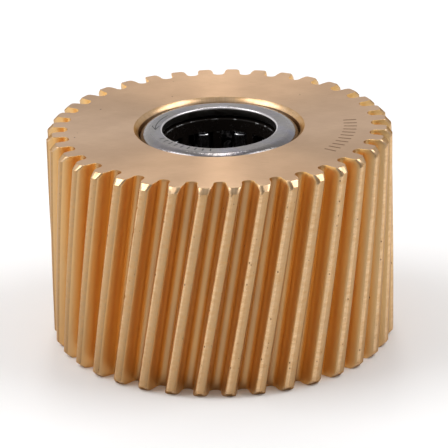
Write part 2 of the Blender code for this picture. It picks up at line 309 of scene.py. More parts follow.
def bronze_face():
    """The turned end faces: a satin sheen round the axis, faint straight grain and a few dark pits."""
    shading = Shading("bronze_face", 1.0, (0.64, 0.42, 0.255), 0.33)
    grain = shading.noise((900, 14000, 900), detail=3)
    patches = shading.noise((220, 320, 220), detail=4)
    shading.tint(shading.between(patches, 0.35, 0.7, 0.0, 0.9), (0.56, 0.355, 0.21))
    shading.tint(shading.between(grain, 0.45, 0.75, 0.0, 0.5), (0.50, 0.32, 0.19))
    shading.tint(shading.spots((420, 420, 420), 0.05), (0.12, 0.06, 0.03))
    shading.roughen(grain, 0.10)
    shading.bump(grain, 0.003 * MM)
    shading.turned(0.85)
    return shading.material


def turned_bronze(name, colour, roughness, lines, rim, pits, painted_shade_right=None):
    """Bronze turned on a lathe: fine rings round the axis, with dark pits, stains and streaks.

    On the teeth's lands the colour can change to a darker one towards the right: painted shade across each
    land.
    """
    shading = Shading(name, 1.0, colour, roughness)
    dark = tuple(channel * 0.72 for channel in colour)
    rings = shading.noise((0.25, lines, 1), detail=3, source="UV")
    stains = shading.noise((0.9, 2.2, 1), detail=4, source="UV", rough=0.6)
    streaks = shading.noise((5, 0.2, 1), detail=3, source="UV", rough=0.6)
    # Painted shade: each land darkens towards its right side.
    if painted_shade_right is not None:
        across = shading.node("ShaderNodeAttribute", attribute_name=ACROSS_LAND)
        shading.tint(shading.between(across.outputs["Fac"], -0.5, 1.0), painted_shade_right)
    shading.tint(shading.between(rings, 0.4, 0.7, 0.0, 0.5), dark)
    stain = (colour[0] * 0.78, colour[1] * 0.68, colour[2] * 0.52)
    shading.tint(shading.between(stains, 0.42, 0.68, 0.0, 0.8), stain)
    shading.tint(shading.between(streaks, 0.45, 0.75, 0.0, 0.7), tuple(channel * 0.66 for channel in colour))
    shading.tint(shading.spots((1300, 1300, 1000), pits), (0.14, 0.07, 0.025))
    shading.rim_tint(rim)
    shading.roughen(rings, 0.12)
    shading.bump(rings, 0.003 * MM)
    return shading.material


def hobbed_bronze_with_painted_shade(shaded_root, bounce_orange, outer):
    """Bronze cut by a hob, with fine hob lines; its colour by distance from the axis is painted shade and
    bounce light: dull at the bottom of the tooth space, orange low on the flank and paler towards the land.
    """
    # Painted shade: the base colour is the dull one at the bottom of the tooth space.
    shading = Shading("bronze_flank", 1.0, shaded_root, 0.36)
    radius = shading.axis_distance()
    lines = shading.noise((9, 0.25, 1), detail=2, source="UV")
    feed = shading.noise((0.6, 1.4, 1), detail=2, source="UV")
    film = shading.noise((260, 260, 120), detail=4)
    # Painted shade and bounce light: orange low on the flank, paler towards the land.
    shading.tint(shading.between(radius, ROOT_RADIUS + 0.02 * MM, ROOT_RADIUS + 0.4 * MM), bounce_orange)
    shading.tint(shading.between(radius, ROOT_RADIUS + 0.6 * MM, TIP_RADIUS), outer)
    shading.tint(shading.between(lines, 0.45, 0.8, 0.0, 0.1), tuple(channel * 0.8 for channel in bounce_orange))
    shading.tint(shading.between(film, 0.4, 0.75, 0.0, 0.3), (bounce_orange[0] * 0.85, bounce_orange[1] * 0.75, bounce_orange[2] * 0.6))
    shading.tint(shading.spots((500, 500, 350), 0.05), (0.07, 0.03, 0.01))
    shading.roughen(lines, 0.06)
    shading.bump(lines, 0.0012 * MM)
    shading.bump(feed, 0.003 * MM)
    return shading.material


def cup_steel(name, roughness, sheen, dents):
    """Deep-drawn steel, tumbled: satin, with fine scratches and a trace of heat colour."""
    shading = Shading(name, 1.0, (0.275, 0.256, 0.248), roughness)
    tumbled = shading.noise((2200, 2200, 2200), detail=3, rough=0.65)
    clouds = shading.noise((420, 420, 420), detail=3)
    warm = shading.noise((300, 350, 300), detail=3)
    scratches = shading.noise((500, 9000, 500), detail=2)
    shading.tint(shading.between(tumbled, 0.5, 0.7, 0.0, 0.6), (0.22, 0.205, 0.20))
    shading.tint(shading.between(clouds, 0.45, 0.7, 0.0, 0.6), (0.23, 0.23, 0.31))
    shading.tint(shading.between(warm, 0.5, 0.75, 0.0, 0.6), (0.37, 0.32, 0.30))
    shading.tint(shading.between(scratches, 0.62, 0.8, 0.0, 0.5), (0.18, 0.17, 0.18))
    shading.tint(shading.spots((900, 900, 900), 0.07), (0.10, 0.10, 0.11))
    shading.roughen(tumbled, 0.12)
    shading.bump(tumbled, dents)
    shading.turned(sheen)
    return shading.material


def burnished_steel():
    """The edge of the cup's hole, polished by the punch that made it and by shafts pushed through."""
    shading = Shading("burnished_steel", 1.0, (0.66, 0.63, 0.64), 0.20)
    scratches = shading.noise((400, 400, 9000), detail=3)
    smears = shading.noise((700, 700, 700), detail=3)
    shading.tint(shading.between(smears, 0.45, 0.75, 0.0, 0.5), (0.44, 0.42, 0.43))
    shading.roughen(scratches, 0.12)
    shading.bump(scratches, 0.002 * MM)
    return shading.material


def roller_steel():
    """Ground and polished bearing steel, with fine rings round each roller."""
    shading = Shading("roller_steel", 1.0, (0.66, 0.66, 0.68), 0.08)
    rings = shading.noise((200, 200, 16000), detail=2)
    smears = shading.noise((700, 700, 350), detail=4)
    shading.tint(shading.between(smears, 0.5, 0.8, 0.0, 0.4), (0.48, 0.47, 0.46))
    shading.roughen(rings, 0.08)
    shading.bump(rings, 0.001 * MM)
    return shading.material


def strip_steel(name, colour, roughness):
    """Rolled or pressed sheet steel, dull, with a grain along the strip."""
    shading = Shading(name, 1.0, colour, roughness)
    grain = shading.noise((700, 700, 7000), detail=3)
    smears = shading.noise((500, 500, 500), detail=4)
    shading.tint(shading.between(smears, 0.45, 0.8, 0.0, 0.5), tuple(channel * 0.7 for channel in colour))
    shading.roughen(grain, 0.15)
    shading.bump(grain, 0.002 * MM)
    return shading.material


def cage_plastic():
    """Black glass-filled nylon, wet in places with a lumpy film of oil."""
    shading = Shading("cage_plastic", 0.0, (0.006, 0.0035, 0.002), 0.45)
    fibres = shading.noise((3500, 3500, 900), detail=4)
    oil = shading.noise((1000, 1000, 1000), detail=1)
    lumps = shading.noise((3800, 3800, 3800), detail=1)
    shading.tint(shading.between(fibres, 0.5, 0.8, 0.0, 0.6), (0.011, 0.007, 0.004))
    shading.roughen(fibres, 0.15)
    shading.bump(fibres, 0.006 * MM)
    film = shading.node("ShaderNodeBump")
    film.inputs["Distance"].default_value = 0.10 * MM
    shading.link(lumps, film.inputs["Height"])
    shading.link(film.outputs["Normal"], shading.shader.inputs["Coat Normal"])
    shading.link(shading.between(oil, 0.5, 0.55), shading.shader.inputs["Coat Weight"])
    shading.shader.inputs["Coat Roughness"].default_value = 0.06
    shading.shader.inputs["Coat IOR"].default_value = 2.0
    shading.shader.inputs["Specular IOR Level"].default_value = 0.15
    return shading.material


def shaded_hole_steel():
    """The sheared wall of the hole, dull; its colour is darkened as painted shade inside the hole, with
    darker, glossier patches of old oil.
    """
    # Painted shade: the wall's colour is darker than the cup's steel.
    shading = Shading("shaded_hole_steel", 1.0, (0.17, 0.155, 0.14), 0.38)
    shear = shading.noise((900, 900, 300), detail=3)
    oil = shading.noise((500, 500, 900), detail=3)
    shading.tint(shading.between(shear, 0.4, 0.75, 0.0, 0.6), (0.10, 0.09, 0.08))
    shading.tint(shading.between(oil, 0.45, 0.75, 0.0, 0.8), (0.05, 0.035, 0.02))
    shading.roughen(oil, -0.15)
    shading.bump(shear, 0.002 * MM)
    return shading.material


def etched_mark(name, colour, metallic):
    """A mark burnt in by a laser: darker and duller than the metal round it, and uneven."""
    shading = Shading(name, metallic, colour, 0.6)
    uneven = shading.noise((6000, 6000, 6000), detail=3)
    shading.tint(shading.between(uneven, 0.35, 0.7, 0.0, 0.7), tuple(channel * 0.55 for channel in colour))
    shading.roughen(uneven, 0.2)
    shading.bump(uneven, 0.004 * MM)
    return shading.material


def cup_materials():
    """One steel for each zone of a cup: its wall and corners, its lips, and the hole's edge and wall."""
    return [
        cup_steel("cup_steel", 0.10, 0.3, 0.03 * MM),
        cup_steel("lip_steel", 0.24, 0.85, 0.06 * MM),
        burnished_steel(),
        shaded_hole_steel(),
    ]


def bronze_materials():
    """One bronze for each zone of the body: the face, land, edge, flank and chamfer."""
    land = turned_bronze(
        "bronze_land",
        colour=(0.65, 0.42, 0.225),
        roughness=0.27,
        lines=7,
        rim=(0.9, 0.77, 0.64),
        pits=0.08,
        # painted shade on the right of each land
        painted_shade_right=(0.38, 0.23, 0.105),
    )
    edge = turned_bronze(
        "bronze_edge",
        colour=(0.77, 0.515, 0.29),
        roughness=0.16,
        lines=4,
        rim=(0.93, 0.82, 0.7),
        pits=0.14,
    )
    # Painted shade and bounce light in the tooth spaces: dull bottom, orange low flank, paler top.
    flank = hobbed_bronze_with_painted_shade(shaded_root=(0.43, 0.25, 0.12), bounce_orange=(0.92, 0.56, 0.20), outer=(0.58, 0.385, 0.205))
    chamfer = turned_bronze(
        "bronze_chamfer",
        colour=(0.70, 0.48, 0.29),
        roughness=0.24,
        lines=12,
        rim=(0.45, 0.31, 0.2),
        pits=0.09,
    )
    return [bronze_face(), land, edge, flank, chamfer]


# Meshes


def polar(radius, angle, height):
    return (radius * cos(angle), radius * sin(angle), height)


def add_piece(name, points, faces, materials, zones=None, sharp=35):
    """A new object with a closed mesh, its materials and, if given, the material of each face."""
    mesh = bpy.data.meshes.new(name)
    mesh.from_pydata(points, [], faces)
    for material in materials:
        mesh.materials.append(material)
    if zones is not None:
        mesh.polygons.foreach_set("material_index", zones)
    mesh.shade_smooth()
    mesh.set_sharp_from_angle(angle=radians(sharp))
    piece = bpy.data.objects.new(name, mesh)
    bpy.context.scene.collection.objects.link(piece)
    return piece


def stand_for(piece, node, body):
    """The piece takes a node's place in the picture and moves with its body."""
    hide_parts(node)
    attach(piece, body)


def loop_faces(ring_count, ring_size, closed):
    """Quads that join rings of points, each ring to the next and, if closed, the last to the first."""
    faces = []
    for ring in range(ring_count if closed else ring_count - 1):
        here = ring * ring_size
        there = (ring + 1) % ring_count * ring_size
        for step in range(ring_size):
            after = (step + 1) % ring_size
            faces.append((here + step, here + after, there + after, there + step))
    return faces


# Gear body


def involute(angle):
    return tan(angle) - angle


def tooth_half_angle(radius):
    """Half of the angle that a tooth takes at a radius. Below the base circle its sides are radial."""
    at_pitch = TOOTH_PITCH / 4 + involute(TRANSVERSE_PRESSURE_ANGLE)
    return at_pitch - involute(acos(BASE_RADIUS / max(radius, BASE_RADIUS)))


def tooth_side(tip_radius, edge, edge_zone):
    """One side of a tooth, from the middle of the space to the middle of the land.

    Each entry is a radius, an angle from the tooth's middle, and the zone of what follows it.
    """
    root_side = tooth_half_angle(ROOT_RADIUS)
    fillet_circle = ROOT_RADIUS + ROOT_FILLET
    fillet_angle = root_side + asin(ROOT_FILLET / fillet_circle)
    side = []
    for step in range(ROOT_STEPS):
        share = step / ROOT_STEPS
        angle = TOOTH_PITCH / 2 + share * (fillet_angle - TOOTH_PITCH / 2)
        side.append((ROOT_RADIUS, angle, FLANK))
    centre = (fillet_circle * cos(fillet_angle), fillet_circle * sin(fillet_angle))
    for step in range(FILLET_STEPS):
        turn = fillet_angle + pi + (pi / 2 - (fillet_angle - root_side)) * step / FILLET_STEPS
        x = centre[0] + ROOT_FILLET * cos(turn)
        y = centre[1] + ROOT_FILLET * sin(turn)
        side.append((hypot(x, y), asin(y / hypot(x, y)), FLANK))
    flank_start = (fillet_circle**2 - ROOT_FILLET**2) ** 0.5
    flank_end = tip_radius - edge
    for step in range(FLANK_STEPS):
        radius = flank_start + (flank_end - flank_start) * step / FLANK_STEPS
        side.append((radius, tooth_half_angle(radius), FLANK))
    land_edge = tooth_half_angle(tip_radius) - edge / tip_radius
    flank_edge = tooth_half_angle(flank_end)
    for step in range(EDGE_STEPS):
        turn = pi / 2 * step / EDGE_STEPS
        straight = (1 - EDGE_ROUNDNESS) * step / EDGE_STEPS
        radius = flank_end + edge * (EDGE_ROUNDNESS * sin(turn) + straight)
        share = EDGE_ROUNDNESS * (1 - cos(turn)) + straight
        side.append((radius, flank_edge + (land_edge - flank_edge) * share, edge_zone))
    for step in range(LAND_STEPS):
        side.append((tip_radius, land_edge * (1 - step / LAND_STEPS), LAND))
    side.append((tip_radius, 0.0, LAND))
    return side


def tooth_profile(tip_radius):
    """The tooth from one space's middle to the next: radii, angles and the zone after each point."""
    left = tooth_side(tip_radius, LEFT_EDGE, EDGE)
    right = tooth_side(tip_radius, RIGHT_EDGE, LAND)
    radii = [radius for radius, _, _ in left] + [radius for radius, _, _ in right[-2:0:-1]]
    angles = [-angle for _, angle, _ in left] + [angle for _, angle, _ in right[-2:0:-1]]
    zones = [zone for _, _, zone in left[:-1]] + [zone for _, _, zone in right[-2::-1]]
    return np.array(radii), np.array(angles), zones


def across_land():
    """Where each point of the profile lies across the land: -1 at its left edge, 1 at its right one."""
    _, angles, _ = tooth_profile(TIP_RADIUS)
    return np.clip(angles / tooth_half_angle(TIP_RADIUS), -1, 1)


def first_tooth_angle(height):
    return TOP_TOOTH_ANGLE + (height - FACE_WIDTH) * TWIST_PER_METRE


def gear_ring(height, inset):
    """The toothed outline at a height, moved into the metal by an inset."""
    from_end = min(height, FACE_WIDTH - height)
    radii, angles, _ = tooth_profile(min(TIP_RADIUS, TIP_RADIUS - TIP_CHAMFER + from_end))
    teeth = first_tooth_angle(height) + TOOTH_PITCH * np.arange(TEETH)
    angle = (teeth[:, None] + angles[None, :]).ravel()
    radius = np.tile(radii, TEETH)
    outline = np.stack([radius * np.cos(angle), radius * np.sin(angle)], 1)
    along = np.roll(outline, -1, 0) - np.roll(outline, 1, 0)
    inward = np.stack([-along[:, 1], along[:, 0]], 1) / np.linalg.norm(along, axis=1)[:, None]
    outline = outline + inward * inset
    return np.column_stack([outline, np.full(len(outline), height)])


def gear_levels():
    """Heights and insets of the rings: a rounded edge at each face, and even steps between them."""
    low = []
    for step in range(FACE_EDGE_STEPS + 1):
        turn = pi / 2 * step / FACE_EDGE_STEPS
        low.append((FACE_EDGE * (1 - cos(turn)), FACE_EDGE * (1 - sin(turn))))
    middle = np.linspace(TIP_CHAMFER, FACE_WIDTH - TIP_CHAMFER, HEIGHT_STEPS + 1)
    high = [(FACE_WIDTH - height, inset) for height, inset in reversed(low)]
    return low + [(float(height), 0.0) for height in middle] + high


def bore_section():
    """The bore's wall and its chamfers, as radius and height, from the bottom face to the top."""
    wide = BORE_RADIUS + BORE_CHAMFER
    little = 0.4 * BORE_SOFTENING
    low = [
        (wide + BORE_SOFTENING, 0.0),
        (wide, little),
        (BORE_RADIUS + little, BORE_CHAMFER),
        (BORE_RADIUS, BORE_CHAMFER + BORE_SOFTENING),
    ]
    return low + [(radius, FACE_WIDTH - height) for radius, height in reversed(low)]


def end_faces(outline_start, rim_start, tooth_points, height):
    """One flat face per tooth, between the toothed outline and the rim of the bore."""
    first_rim = round((first_tooth_angle(height) - TOOTH_PITCH / 2) / (2 * pi / RIM_POINTS))
    upward = height > FACE_WIDTH / 2
    faces = []
    for tooth in range(TEETH):
        outer = [
            outline_start + (tooth * tooth_points + step) % (TEETH * tooth_points)
            for step in range(tooth_points + 1)
        ]
        inner = [
            rim_start + (first_rim + tooth * RIM_POINTS_PER_TOOTH + step) % RIM_POINTS
            for step in range(RIM_POINTS_PER_TOOTH + 1)
        ]
        face = (*outer, *reversed(inner))
        faces.append(face if upward else face[::-1])
    return faces


def nick_edges(points, levels, ring_size, tooth_points):
    """Small knocks: single points of the tooth edges, pushed towards the axis."""
    chance = np.random.default_rng(11)
    _, _, zones = tooth_profile(TIP_RADIUS)
    edge_steps = [step for step, zone in enumerate(zones) if zone == EDGE]
    for _ in range(NICK_COUNT):
        level = chance.integers(NICK_CLEAR_LEVELS, levels - NICK_CLEAR_LEVELS)
        tooth = chance.integers(TEETH)
        place = level * ring_size + tooth * tooth_points + chance.choice(edge_steps)
        points[place, :2] *= 1 - NICK_DEPTH * chance.uniform(0.3, 1.0) / TIP_RADIUS


def band_zones(low, high):
    """The zone of each face of the toothed band between two heights: near the ends the tips are chamfered."""
    _, _, tooth_zones = tooth_profile(TIP_RADIUS)
    zones = np.tile(tooth_zones, TEETH)
    on_tip = (zones == LAND) | (zones == EDGE)
    at_end = min(low, FACE_WIDTH - high) < TIP_CHAMFER - FACE_EDGE / 2
    return np.where(on_tip & at_end, CHAMFER, zones)


def band_map(travel, low, high):
    """Surface coordinates of the same faces in mm: along the outline, and up."""
    size = len(travel) - 1
    corners = np.empty((size, 4, 2))
    corners[:, 0] = np.column_stack([travel[:-1], np.full(size, low / MM)])
    corners[:, 1] = np.column_stack([travel[1:], np.full(size, low / MM)])
    corners[:, 2] = np.column_stack([travel[1:], np.full(size, high / MM)])
    corners[:, 3] = np.column_stack([travel[:-1], np.full(size, high / MM)])
    return corners.reshape(-1, 2)


def outline_travel(ring):
    """How far each point of the outline lies along it, in mm, from its first point and back to it."""
    outline = ring[:, :2]
    steps = np.linalg.norm(np.roll(outline, -1, 0) - outline, axis=1)
    return np.concatenate([[0.0], np.cumsum(steps)]) / MM


def bore_points():
    return [
        polar(radius, 2 * pi * step / RIM_POINTS, height)
        for radius, height in bore_section()
        for step in range(RIM_POINTS)
    ]


def bore_map(bore_faces):
    """Surface coordinates of the bore's faces in mm: round the bore, and up."""
    section = bore_section()
    coordinates = []
    for face in bore_faces:
        for corner in face:
            around = corner % RIM_POINTS / RIM_POINTS * 2 * pi * BORE_RADIUS
            coordinates.append((around / MM, section[corner // RIM_POINTS][1] / MM))
    return coordinates


def build_gear_body():
    """The toothed rings, then the bore, then the two end faces."""
    levels = gear_levels()
    rings = [gear_ring(height, inset) for height, inset in levels]
    ring_size = len(rings[0])
    tooth_points = ring_size // TEETH
    points = np.concatenate(rings)
    nick_edges(points, len(levels), ring_size, tooth_points)
    faces = loop_faces(len(levels), ring_size, closed=False)
    travel = outline_travel(rings[len(rings) // 2])
    bands = [(low, high) for (low, _), (high, _) in zip(levels, levels[1:])]
    zones = [band_zones(low, high) for low, high in bands]
    coordinates = [band_map(travel, low, high) for low, high in bands]

    bore_start = len(points)
    points = points.tolist() + bore_points()
    bore_faces = [face[::-1] for face in loop_faces(len(bore_section()), RIM_POINTS, closed=False)]
    faces += [tuple(bore_start + corner for corner in face) for face in bore_faces]
    zones.append(np.full(len(bore_faces), CHAMFER))
    coordinates.append(bore_map(bore_faces))

    last_ring = ring_size * (len(levels) - 1)
    last_rim = len(points) - RIM_POINTS
    caps = end_faces(0, bore_start, tooth_points, 0.0)
    caps += end_faces(last_ring, last_rim, tooth_points, FACE_WIDTH)
    faces += caps
    zones.append(np.full(len(caps), FACE))
    coordinates.append([(points[corner][0] / MM, points[corner][1] / MM) for face in caps for corner in face])

    zones = np.concatenate(zones)
    body = add_piece("bronze_gear", points, faces, bronze_materials(), zones)
    body.data.polygons.foreach_set("use_smooth", zones != FACE)
    surface_map = body.data.uv_layers.new(name="surface")
    surface_map.data.foreach_set("uv", np.concatenate(coordinates).ravel())
    across = np.zeros(len(points))
    across[:bore_start] = np.tile(across_land(), TEETH * len(levels))
    body.data.attributes.new(ACROSS_LAND, "FLOAT", "POINT").data.foreach_set("value", across)
    stand_for(body, "gear_body", "gear")


# Drawn cups


def rounded(centre_radius, centre_height, size, start, end, steps):
    """Points of an arc in a section, between two directions in degrees: 0 is outward, 90 is up."""
    arc = []
    for step in range(steps + 1):
        turn = radians(start + (end - start) * step / steps)
        arc.append((centre_radius + size * cos(turn), centre_height + size * sin(turn)))
    return arc


def cup_section(bottom, top, lip, hole, corner, race_radius):
    """A cup's section: a wall with a lip turned inward at each end, its edges rounded."""
    outer = CUP_RADIUS - corner
    edge = LIP_EDGE
    rim = hole + edge
    race = race_radius - CUP_INSIDE_CORNER
    floor = bottom + lip + CUP_INSIDE_CORNER
    ceiling = top - lip - CUP_INSIDE_CORNER
    return [
        *rounded(outer, top - corner, corner, 90, 0, CORNER_STEPS),
        *rounded(outer, bottom + corner, corner, 0, -90, CORNER_STEPS),
        *rounded(rim, bottom + edge, edge, -90, -180, LIP_EDGE_STEPS),
        *rounded(rim, bottom + lip - edge, edge, 180, 90, LIP_EDGE_STEPS),
        *rounded(race, floor, CUP_INSIDE_CORNER, -90, 0, LIP_EDGE_STEPS),
        *rounded(race, ceiling, CUP_INSIDE_CORNER, 0, 90, LIP_EDGE_STEPS),
        *rounded(rim, top - lip + edge, edge, -90, -180, LIP_EDGE_STEPS),
        *rounded(rim, top - edge, edge, 180, 90, LIP_EDGE_STEPS),
    ]


def cup_zones(section, bottom, top, hole):
    """The material of each step of a cup's section, in the order of cup_materials."""
    slack = 0.01 * LIP_EDGE
    zones = []
    for (radius, height), (next_radius, next_height) in zip(section, section[1:] + section[:1]):
        from_ends = min(top - max(height, next_height), min(height, next_height) - bottom)
        if abs(height - next_height) < slack and from_ends < slack:
            zones.append(CUP_LIP)
        elif max(radius, next_radius) > hole + LIP_EDGE + slack:
            zones.append(CUP_BODY)
        elif from_ends < LIP_EDGE - slack:
            zones.append(CUP_HOLE_EDGE)
        else:
            zones.append(CUP_HOLE_WALL)
    return zones


def build_ring(name, angles, section_at, materials, section_zones):
    """A ring swept round the axis, whose section can differ from angle to angle."""
    points = []
    for angle in angles:
        points += [polar(radius, angle, height) for radius, height in section_at(angle)]
    faces = loop_faces(len(angles), len(section_zones), closed=True)
    return add_piece(name, points, [face[::-1] for face in faces], materials, section_zones * len(angles))


def ramp_radius(angle):
    """The clutch cup's inner radius: in each pocket it rises away from the side where rollers jam."""
    offset = (angle - FIRST_ROLLER_ANGLE - RAMP_START) % ROLLER_PITCH + RAMP_START
    rise = RAMP_HIGH_RADIUS - RAMP_LOW_RADIUS
    if offset > RAMP_END:
        return RAMP_HIGH_RADIUS - rise * min(1.0, (offset - RAMP_END) / RAMP_DROP)
    return RAMP_LOW_RADIUS + rise * (offset - RAMP_START) / (RAMP_END - RAMP_START)


def build_clutch_cup(materials):
    def section_at(angle):
        return cup_section(
            clutch_low.z,
            clutch_high.z,
            CLUTCH_LIP_THICKNESS,
            CLUTCH_LIP_HOLE,
            CLUTCH_CORNER,
            ramp_radius(angle),
        )

    angles = [2 * pi * step / CUP_SEGMENTS for step in range(CUP_SEGMENTS)]
    zones = cup_zones(section_at(0.0), clutch_low.z, clutch_high.z, CLUTCH_LIP_HOLE)
    cup = build_ring("roller_clutch_cup", angles, section_at, materials, zones)
    stand_for(cup, "clutch_cup", "gear")


def build_bearing_cup(materials):
    section = cup_section(
        bearing_low.z,
        bearing_high.z,
        BEARING_LIP_THICKNESS,
        BEARING_LIP_HOLE,
        BEARING_CORNER,
        NEEDLE_RACE_RADIUS,
    )
    angles = [2 * pi * step / CUP_SEGMENTS for step in range(CUP_SEGMENTS)]
    zones = cup_zones(section, bearing_low.z, bearing_high.z, BEARING_LIP_HOLE)
    cup = build_ring("needle_bearing_cup", angles, lambda angle: section, materials, zones)
    stand_for(cup, "bearing_cup", "gear")


# Cages


def window_sectors(count, first, window, window_steps, bar_steps):
    """Where each sector of a cage starts, and whether it is part of a window."""
    pitch = 2 * pi / count
    start, end = window
    sectors = []
    for number in range(count):
        middle = first + number * pitch
        for step in range(window_steps):
            sectors.append((middle + start + (end - start) * step / window_steps, True))
        for step in range(bar_steps):
            sectors.append((middle + end + (pitch - end + start) * step / bar_steps, False))
    return sectors


def cage_shape(radii, heights, sectors):
    """Points and faces of a ring with windows between the second and third of its four heights."""
    count = len(sectors)
    points = [
        polar(radius, angle, height)
        for radius in radii
        for height in heights
        for angle, _ in sectors
    ]

    def corner(side, level, step):
        return (side * len(heights) + level) * count + step % count

    def wall(side, level, step):
        low = (corner(side, level, step), corner(side, level, step + 1))
        high = (corner(side, level + 1, step + 1), corner(side, level + 1, step))
        face = low + high
        return face if side else face[::-1]

    def shelf(level, step, upward):
        near = (corner(0, level, step), corner(1, level, step))
        far = (corner(1, level, step + 1), corner(0, level, step + 1))
        face = near + far
        return face if upward else face[::-1]

    def jamb(step, forward):
        low = (corner(0, 1, step), corner(1, 1, step))
        high = (corner(1, 2, step), corner(0, 2, step))
        face = low + high
        return face[::-1] if forward else face

    faces = []
    for step in range(count):
        open_here = sectors[step][1]
        open_before = sectors[step - 1][1]
        levels = (0, 2) if open_here else (0, 1, 2)
        faces += [wall(side, level, step) for side in (0, 1) for level in levels]
        faces.append(shelf(0, step, upward=False))
        faces.append(shelf(3, step, upward=True))
        if open_here:
            faces.append(shelf(1, step, upward=True))
            faces.append(shelf(2, step, upward=False))
        if open_here != open_before:
            faces.append(jamb(step, forward=open_here))
    return points, faces


def build_cage(name, node, body, window_height, sectors, material):
    """A cage with the size of its node, finely divided, with softened edges."""
    low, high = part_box(node)
    node_points = np.array([vertex.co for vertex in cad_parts[node].data.vertices])
    distance = np.hypot(node_points[:, 0], node_points[:, 1])
    middle = (low.z + high.z) / 2
    heights = (low.z, middle - window_height / 2, middle + window_height / 2, high.z)
    radii = (float(distance.min()), float(distance.max()))
    points, faces = cage_shape(radii, heights, sectors)
    cage = add_piece(name, points, faces, [material])
    bevel = cage.modifiers.new("softened_edges", "BEVEL")
    bevel.width = CAGE_BEVEL
    bevel.segments = CAGE_BEVEL_STEPS
    bevel.limit_method = "ANGLE"
    bevel.angle_limit = CAGE_BEVEL_LIMIT
    stand_for(cage, node, body)


def build_cages():
    roller_length = roller_high.z - roller_low.z
    needle_length = needle_high.z - needle_low.z
    build_cage(
        "roller_clutch_cage",
        "clutch_cage",
        "gear",
        roller_length + 2 * WINDOW_PLAY,
        window_sectors(ROLLER_COUNT, FIRST_ROLLER_ANGLE, CLUTCH_WINDOW, window_steps=12, bar_steps=5),
        cage_plastic(),
    )
    build_cage(
        "needle_bearing_cage",
        "bearing_cage",
        "needle_cage",
        needle_length + 2 * WINDOW_PLAY,
        window_sectors(NEEDLE_COUNT, 0.0, NEEDLE_WINDOW, window_steps=8, bar_steps=4),
        strip_steel("cage_steel", (0.40, 0.40, 0.41), 0.34),
    )


# Rollers, needles and springs


def roller_shape(radius, length):
    """A roller about its own middle, with rounded rims and a slight dish in each end."""
    bottom = -length / 2
    dish = [(0.25 * radius, bottom + ROLLER_DISH), (0.7 * radius, bottom)]
    round_radius = radius - ROLLER_END_ROUND
    rim = rounded(round_radius, bottom + ROLLER_END_ROUND, ROLLER_END_ROUND, -90, 0, ROLLER_END_STEPS)
    lower = dish + rim
    section = lower + [(x, -z) for x, z in reversed(lower)]
    points = [
        polar(x, 2 * pi * step / ROLLER_SEGMENTS, z) for x, z in section for step in range(ROLLER_SEGMENTS)
    ]
    faces = loop_faces(len(section), ROLLER_SEGMENTS, closed=False)
    last = ROLLER_SEGMENTS * (len(section) - 1)
    faces.append(tuple(reversed(range(ROLLER_SEGMENTS))))
    faces.append(tuple(range(last, last + ROLLER_SEGMENTS)))
    return points, faces


def build_rollers(nodes, prefix, body_prefix, material):
    """One roller for each node, with its size and place."""
    for node in nodes:
        number = node[-2:]
        low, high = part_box(node)
        points, faces = roller_shape((high.x - low.x) / 2, high.z - low.z)
        roller = add_piece(f"{prefix}_{number}", points, faces, [material])
        roller.location = (low + high) / 2
        stand_for(roller, node, f"{body_prefix}_{number}")


def spring_line(inset):
    """A hairpin, seen along the axis: down from the cage bar, round a bend and back by the roller."""
    middle = (SPRING_LEGS[0] + SPRING_LEGS[1]) / 2
    bend = (SPRING_LEGS[1] - SPRING_LEGS[0]) / 2 - inset
    line = [(middle + bend, SPRING_REACH[0])]
    for step in range(SPRING_BEND_STEPS + 1):
        turn = pi * step / SPRING_BEND_STEPS
        line.append((middle + bend * cos(turn), SPRING_REACH[1] + bend * sin(turn)))
    line.append((middle - bend, SPRING_REACH[0]))
    return line


def build_springs():
    material = strip_steel("spring_steel", (0.50, 0.49, 0.48), 0.25)
    outline = spring_line(0.0) + spring_line(SPRING_THICKNESS)[::-1]
    size = len(outline)
    for number, roller_node in enumerate(ROLLER_NODES, start=1):
        low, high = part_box(roller_node)
        centre = (low + high) / 2
        turn = Matrix.Rotation(FIRST_ROLLER_ANGLE + (number - 1) * ROLLER_PITCH, 4, "Z")
        points = []
        for height in (-SPRING_WIDTH / 2, SPRING_WIDTH / 2):
            points += [turn @ Vector((y, x, height)) + centre for x, y in outline]
        faces = loop_faces(2, size, closed=False)
        faces = [face[::-1] for face in faces]
        faces.append(tuple(range(size)))
        faces.append(tuple(reversed(range(size, 2 * size))))
        spring = add_piece(f"hairpin_spring_{number:02d}", points, faces, [material])
        stand_for(spring, f"clutch_spring_{number:02d}", "gear")


# Marks


def inlay(name, outlines, height, material):
    """Flat marks sunk into a face: each outline becomes a thin closed body."""
    points = []
    faces = []
    for outline in outlines:
        start = len(points)
        size = len(outline)
        for level in (height - MARK_DEPTH, height + MARK_RISE):
            points += [(x, y, level) for x, y in outline]
        for step in range(size):
            after = (step + 1) % size
            faces.append((start + step, start + after, start + size + after, start + size + step))
        faces.append(tuple(start + step for step in reversed(range(size))))
        faces.append(tuple(start + size + step for step in range(size)))
    return add_piece(name, points, faces, [material])


def tick(radius, angle, length, width):
    """A short radial stroke with round ends, as x and y."""
    outline = []
    for end, first in ((1, -pi / 2), (-1, pi / 2)):
        for step in range(TICK_END_STEPS + 1):
            turn = first + pi * step / TICK_END_STEPS
            x = radius + end * (length - width) / 2 + width / 2 * cos(turn)
            y = width / 2 * sin(turn)
            outline.append((x * cos(angle) - y * sin(angle), x * sin(angle) + y * cos(angle)))
    return outline


def tick_row(count, radius, angles, size):
    first, last = angles
    return [tick(radius, first + (last - first) * number / (count - 1), *size) for number in range(count)]


